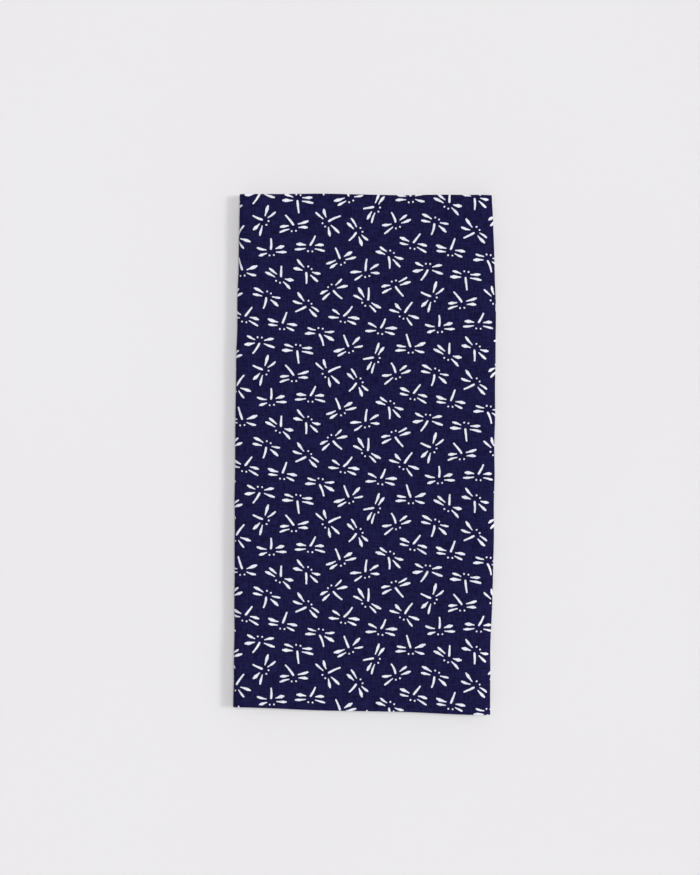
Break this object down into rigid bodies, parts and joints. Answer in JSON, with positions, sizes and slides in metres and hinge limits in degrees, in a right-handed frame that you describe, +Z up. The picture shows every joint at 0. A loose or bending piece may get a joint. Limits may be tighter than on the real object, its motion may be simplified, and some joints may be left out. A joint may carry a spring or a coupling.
{
  "type": "tenugui towel",
  "caption": "Thin cotton hand towel with white dragonflies on a dark indigo ground, folded into a flat oblong that lies on a surface.",
  "frame": {"origin": "middle of the flat underside, at the centre of the bounding box's bottom", "axes": "+X across the folds, towards the side with the doubling fold; +Y along the folds, from one selvage to the other; +Z up"},
  "size_m": [0.172, 0.3412, 0.0083],
  "materials": {
    "dyed_cotton": "plain-weave cotton, matt, dyed dark indigo with small white dragonflies"
  },
  "bodies": {
    "root": {"towel_cloth": "dyed_cotton"}
  },
  "joints": []
}
